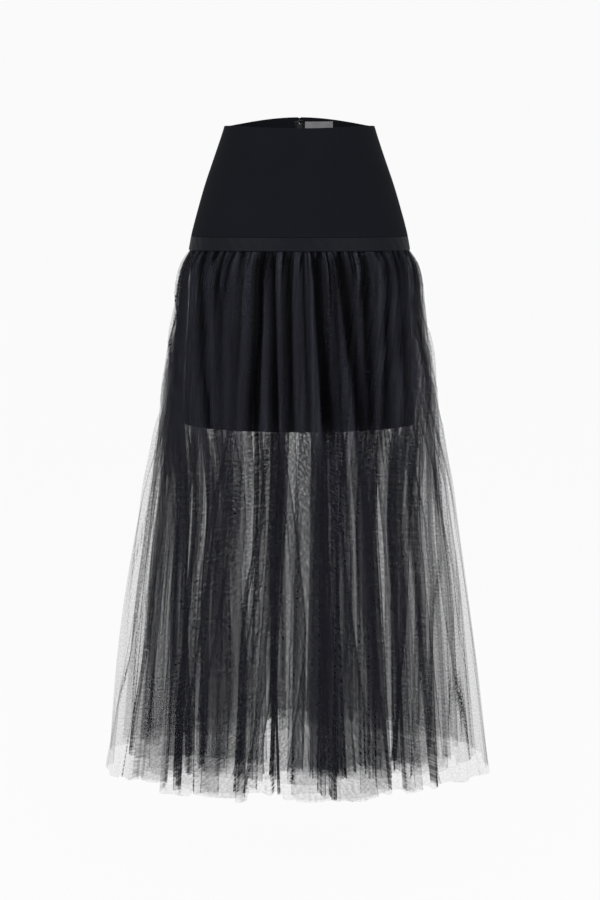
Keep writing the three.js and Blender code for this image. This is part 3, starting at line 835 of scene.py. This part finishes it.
def net_points(layer, hem, cut, gathers, seed):
    """A layer of net as a grid of points, with the place of each on the flat cloth, how much of
    what lies behind its threads cover, and the painted light and shade in its colour."""
    # The folds of all layers nest into one another, and only their small gathers differ
    shared = np.random.default_rng(SHARED_SEED)
    rng = np.random.default_rng(seed)
    folds = NET_FOLDS
    columns = folds * (NET_COLUMNS // folds) + 1
    place = np.linspace(0, 1, columns)
    turn = 2 * math.pi * place
    down = np.linspace(0, 1, NET_ROWS + 1) ** ROW_CROWDING
    start = BAND_BOTTOM - SEAM_GAP
    levels = start + (hem - start) * down

    fold_jitter = FOLD_JITTER * wander(turn, shared, (3, folds // 2), 8)
    fold_drift = FOLD_DRIFT * wander(turn, shared, (3, folds // 2), 8)
    panel_size = np.clip(1 + 0.5 * wander(turn, shared, (5, folds), 9), 0.2, 1.7)
    set_back = 0.3 + 0.3 * wander(turn, shared, (6, folds), 10)
    fold_jitter = fold_jitter + OWN_JITTER * wander(turn, rng, (3, folds // 2), 8)
    fold_drift = fold_drift + OWN_DRIFT * wander(turn, rng, (3, folds // 2), 8)
    panel_size = panel_size * (1 + 0.15 * wander(turn, rng, (5, folds), 9))
    gather_jitter = GATHER_JITTER * wander(turn, rng, (5, folds), 12)
    gather_depth = 1 + 0.45 * wander(turn, rng, (10, folds), 10)
    hem_change = HEM_LIFT + hem_steps(turn * folds + fold_jitter, 2 * folds, rng)

    rings, shades_of_rings, turns_of_rings = [], [], []
    for level, share_down in zip(levels, down):
        row = table_at(NET_SECTIONS, level)
        half_width, half_depth, side_pitch, front_pitch, depth, core = row[1:]
        half_width, half_depth = half_width - layer * side_pitch, half_depth - layer * front_pitch
        drop = (BAND_BOTTOM - level) / (BAND_BOTTOM - OUTER_HEM)
        cloth, oval = spread_cloth(level, half_width, half_depth, core, cut)
        angle = np.interp(place * cut, cloth, ALL_ROUND)
        per_angle = np.hypot(half_width * np.cos(angle), half_depth * np.sin(angle))
        reach = cut / folds / 2
        ahead = np.interp(place * cut + reach, np.append(cloth, cloth[1:] + cut), np.append(
            oval, oval[1:] + oval[-1]))
        behind = np.interp(place * cut - reach, np.append(cloth[:-1] - cut, cloth), np.append(
            oval[:-1] - oval[-1], oval))
        squeeze = np.clip((ahead - behind) / (2 * reach), 0.1, 0.97)

        # Folds lie over one another as panels, wider and wider down the skirt. The cloth that the
        # panels don't take up stays in small gathers.
        opened = ((start - level) / (start - OUTER_HEM)) ** PANEL_OPENING
        fold_cloth = cut / folds
        panel = fold_cloth / 4 * PANEL_SLACK * opened * panel_size
        panel = panel * smoothstep(1.1, 1.9, 1 / squeeze)
        # Beside the lining the net hangs in small gathers alone, with no gaps between folds
        at_side = smoothstep(0.75, 0.95, np.abs(np.sin(angle)))
        panel = panel * (1 - SIDE_GATHERS * at_side * (1 - smoothstep(0.3, 0.55, drop)))
        travelled = np.maximum(4 * panel, squeeze * fold_cloth)
        gathered = np.clip(travelled / fold_cloth, 0.12, 0.97)
        gather_phase = turn * folds * gathers + gather_jitter
        fold_phase = turn * folds + fold_jitter + 2 * math.pi * fold_drift * drop
        shift_g, out_g, reach_g = meander(gathered, gather_phase, fold_cloth / gathers)
        beside = at_side * smoothstep(0.25, 0.5, drop)
        shallow_g = np.minimum(1, 0.7 * depth / (2 * reach_g + 0.01)) * gather_depth
        shallow_g = shallow_g * (1 - 0.6 * beside)
        thick = np.minimum(0.3 * depth, 0.1 * panel + 0.13 * depth)
        folded = thick * (1 - np.cos(fold_phase))
        inset = folded + (reach_g - out_g) * shallow_g
        settled_in = np.clip(set_back, 0, 1) * SET_BACK * depth * smoothstep(0, 0.35, drop)
        inset = inset + settled_in * (1 - 0.8 * beside)
        sideways = panel * zigzag(fold_phase) + shift_g * np.cos(fold_phase) * 0.8
        angle = angle + sideways / per_angle
        inset = inset + PINCH_DEPTH * pinches(angle, level)
        fading = 1 - smoothstep(-LINING_HEM - 30, -LINING_HEM + 90, -level)
        creased = creases(angle, level) * fading
        inset = inset + NET_CREASE_DEPTH * creased
        if level > LINING_HEM - FREED_BY:
            lining = table_at(LINING_SECTIONS, level)
            room = np.hypot(
                (half_width - lining[1]) * np.sin(angle), (half_depth - lining[2]) * np.cos(angle)
            ) + LINING_CREASE_DEPTH * creased - NET_CLEARANCE + LAYER_CLEARANCE * layer
            room = np.maximum(room, LEAST_ROOM)
            ease = smoothstep(LINING_HEM - FREED_BY, LINING_HEM, level)
            limit = room + (FREE_ROOM - room) * (1 - ease)
            inset = limit * np.tanh(inset / limit)
        rings.append(oval_points(
            half_width, half_depth, angle, inset, level + hem_change * share_down**HEM_FADING
        ))
        # Painted shade in the grooves of folds, on top of the painted shade and highlights of
        # creases and ridges
        in_groove = folded / (2 * thick + 0.5)
        shades_of_rings.append(
            net_shade(angle, level, creased) * (1 - GROOVE_PAINTED_SHADE * in_groove)
        )
        turns_of_rings.append(angle)
    points = np.array(rings)

    before = np.concatenate([points[:, -2:-1], points[:, :-1]], axis=1)
    after = np.concatenate([points[:, 1:], points[:, 1:2]], axis=1)
    downward = np.gradient(points, axis=0)
    facing = np.cross(after - before, downward)
    facing /= np.linalg.norm(facing, axis=-1, keepdims=True) + 1e-9
    angle = np.array(turns_of_rings)
    outward = np.stack([np.sin(angle), -np.cos(angle), np.zeros_like(angle)], -1)
    slant = np.clip(np.abs(np.sum(facing * outward, axis=-1)), LEAST_SLANT, 1)
    # Where the small gathers are too fine for the mesh, its threads stand closer together
    width = np.linalg.norm(after - before, axis=-1) / 2
    packed = np.clip(cut / (columns - 1) / np.maximum(width, 0.01), 1, MOST_PACKED)
    thickness = NET_CROSSING * packed * slant ** -(np.cos(angle) ** 2)
    # Here and there a fold is pressed into a sharp edge, two threads thick and more
    pressed = np.clip(wander(turn, rng, (folds, folds * 3), 12), 0, 1)
    fades = 0.5 + 0.5 * np.sin(
        (3 + 3 * rng.random()) * down[:, None] * math.pi + 9 * wander(turn, rng, (3, 9), 5)
    )
    drifting = fold_jitter + 2 * math.pi * fold_drift * (
        (BAND_BOTTOM - levels[:, None]) / (BAND_BOTTOM - OUTER_HEM)
    )
    edge = np.exp(-((np.cos(turn * folds + drifting) / EDGE_WIDTHS[layer]) ** 2))
    small_turn = (turn * folds * gathers + gather_jitter) / 2
    small_edge = np.exp(-((np.sin(small_turn) / SMALL_EDGE_WIDTH) ** 2))
    pressed_again = wander(turn, rng, (folds, folds * 4), 12)
    pressing = edge * (0.4 + pressed) + small_edge * np.clip(1.6 * pressed_again - 0.4, 0, 1.2)
    thickness = thickness + CREASED_EDGE * NET_CROSSING * pressing * fades * EDGE_STRENGTHS[layer]
    cover = 1 - np.exp(-thickness)

    flat = np.stack(np.broadcast_arrays(place[None, :] * cut, -levels[:, None]), -1)
    through = np.stack([angle * GRAIN_RADIUS, points[..., 2]], -1)
    return points, flat, through, cover, np.array(shades_of_rings)


def make_net(layer, name, hem, cut, gathers, seed):
    points, flat, through, cover, shade = net_points(layer, hem, cut, gathers, seed)
    rows, columns = cover.shape
    piece = make_piece(
        f"{name}_net", points.reshape(-1, 3), grid_faces(rows, columns), net_cloth,
        flat.reshape(-1, 2), [name],
    )
    add_uv(piece.data, "through", through.reshape(-1, 2))
    # shade holds the painted light and shade of the net's colour
    for attribute_name, values in (("cover", cover), ("shade", shade)):
        attribute = piece.data.attributes.new(attribute_name, "FLOAT", "POINT")
        attribute.data.foreach_set("value", values.ravel().astype(np.float32))
    # Its own faint shadows are left out, because light passes through the net; the painted shade
    # in its colour stands in for them
    piece.visible_shadow = False


for layer, settings in enumerate(NET_LAYERS):
    make_net(layer, **settings)


# Zip, hook, eye and label

TAPE_WIDTH = 7.0
TAPE_WALL = 0.8
TAPE_TOP = 7.6
TAPE_BOTTOM = -178.0
LABEL_START = 8.6
LABEL_WIDTH = 43.0
LABEL_TOP = 10.2
LABEL_HEIGHT = 22.0
LABEL_WALL = 0.8

for part, side in (("right", 1), ("left", -1)):
    outside = beside_back(side, ZIP_GAP / 2 + TAPE_WIDTH)
    inside = beside_back(side, ZIP_GAP / 2)
    ends = (outside, inside) if side > 0 else (inside, outside)
    panel(
        f"zip_tape_{part}_cloth", HIP_SECTIONS, ends, level_edge(TAPE_TOP), TAPE_BOTTOM,
        YOKE_WALL + SEAM_GAP, TAPE_WALL, tape_cloth, "zip_tape", step=2.0, declared=False,
    )
panel(
    "label_cloth", HIP_SECTIONS,
    (beside_back(1, LABEL_START + LABEL_WIDTH), beside_back(1, LABEL_START)),
    level_edge(LABEL_TOP), LABEL_TOP - LABEL_HEIGHT, YOKE_WALL + SEAM_GAP, LABEL_WALL,
    label_cloth, "label_cloth", step=1.5,
)

COIL_START = -3.0
COIL_PITCH = 1.15
COIL_HALF_WIDTH = 1.9
COIL_HALF_DEPTH = 0.65
COIL_THREAD = 0.4


def zip_teeth():
    """The zip's coil: a flattened spiral of thick thread along the inside of the opening."""
    steps, sides = 14, 6
    turns = int((COIL_START - TAPE_BOTTOM) / COIL_PITCH)
    turn = np.arange(turns * steps + 1) / steps
    level = COIL_START - turn * COIL_PITCH
    wall = table_at(HIP_SECTIONS, level)[:, 2] - YOKE_WALL - SEAM_GAP - TAPE_WALL - 1.0
    round_it = 2 * math.pi * turn
    middle = np.stack(
        [COIL_HALF_WIDTH * np.cos(round_it), wall + COIL_HALF_DEPTH * np.sin(round_it), level], -1
    )
    along = np.gradient(middle, axis=0)
    along /= np.linalg.norm(along, axis=1, keepdims=True)
    first = np.cross(along, np.array([0.0, 0.0, 1.0]))
    first /= np.linalg.norm(first, axis=1, keepdims=True)
    second = np.cross(along, first)
    about = 2 * math.pi * np.arange(sides) / sides
    round_first, round_second = np.cos(about)[None, :, None], np.sin(about)[None, :, None]
    points = middle[:, None] + COIL_THREAD * (
        first[:, None] * round_first + second[:, None] * round_second
    )
    faces = grid_faces(len(middle), sides, ring=True).tolist()
    faces.append(list(range(sides)))
    faces.append([(len(middle) - 1) * sides + i for i in range(sides)][::-1])
    make_piece("zip_teeth", points.reshape(-1, 3), faces, black_metal)


zip_teeth()

CAD_FINISHES = {
    "zip_slider": black_metal,
    "zip_pull_tab": black_metal,
    "hook": bright_metal,
    "eye": bright_metal,
}
for node, finish in CAD_FINISHES.items():
    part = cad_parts[node]
    part.data.materials.clear()
    part.data.materials.append(finish)


# Floor, light and camera

BACKGROUND = 0.955
FLOOR_LEVEL = -1.10


def make_floor():
    mesh = bpy.data.meshes.new("studio_floor")
    reach = 30.0
    corners = [(-reach, -reach), (reach, -reach), (reach, reach), (-reach, reach)]
    mesh.from_pydata([(x, y, FLOOR_LEVEL) for x, y in corners], [], [(0, 1, 2, 3)])
    floor = bpy.data.objects.new("studio_floor", mesh)
    bpy.context.scene.collection.objects.link(floor)
    glow = 0.96
    material = new_material("pale_floor", (1 - glow,) * 3, 1.0, 0.0)
    shader = material.node_tree.nodes["Principled BSDF"]
    shader.inputs["Emission Color"].default_value = (1, 1, 1, 1)
    shader.inputs["Emission Strength"].default_value = BACKGROUND * glow
    mesh.materials.append(material)


def make_light(name, place, size, power):
    light = bpy.data.lights.new(name, "AREA")
    light.shape = "DISK"
    light.size = size
    light.energy = power
    lamp = bpy.data.objects.new(name, light)
    bpy.context.scene.collection.objects.link(lamp)
    lamp.location = place
    aim = np.array([0, 0, -0.45]) - np.array(place)
    yaw = math.atan2(aim[0], -aim[1])
    tilt = math.atan2(math.hypot(aim[0], aim[1]), -aim[2])
    lamp.rotation_euler = (tilt, 0, math.pi + yaw)


make_floor()
world = bpy.data.worlds.new("studio")
world.use_nodes = True
sky = world.node_tree.nodes["Background"]
sky.inputs["Color"].default_value = (1, 1, 1, 1)
sky.inputs["Strength"].default_value = BACKGROUND
scene = bpy.context.scene
scene.world = world
scene.view_settings.view_transform = "Standard"
scene.cycles.transparent_max_bounces = 96
scene.cycles.min_transparent_bounces = 8
scene.cycles.max_bounces = 2
scene.cycles.diffuse_bounces = 1
scene.cycles.glossy_bounces = 2
make_light("key_light", (-2.2, -2.6, 1.0), 1.2, 80)
make_light("fill_light", (2.2, -2.6, 0.8), 1.2, 65)

# The photograph's camera: level line 245 px over the middle of the picture, 1900 px away
CAMERA_DISTANCE = 2.85
CAMERA_HEIGHT = -0.1159
PIXELS_AWAY = 1900
LEVEL_LINE = 245
PICTURE_HEIGHT = 900
camera_data = bpy.data.cameras.new("camera")
camera_data.sensor_width = 36
camera_data.lens = camera_data.sensor_width * PIXELS_AWAY / PICTURE_HEIGHT
camera = bpy.data.objects.new("camera", camera_data)
scene.collection.objects.link(camera)
camera.location = (0.0008, -CAMERA_DISTANCE, CAMERA_HEIGHT)
camera.rotation_euler = (math.pi / 2 - math.atan2(LEVEL_LINE, PIXELS_AWAY), 0, 0)
scene.camera = camera
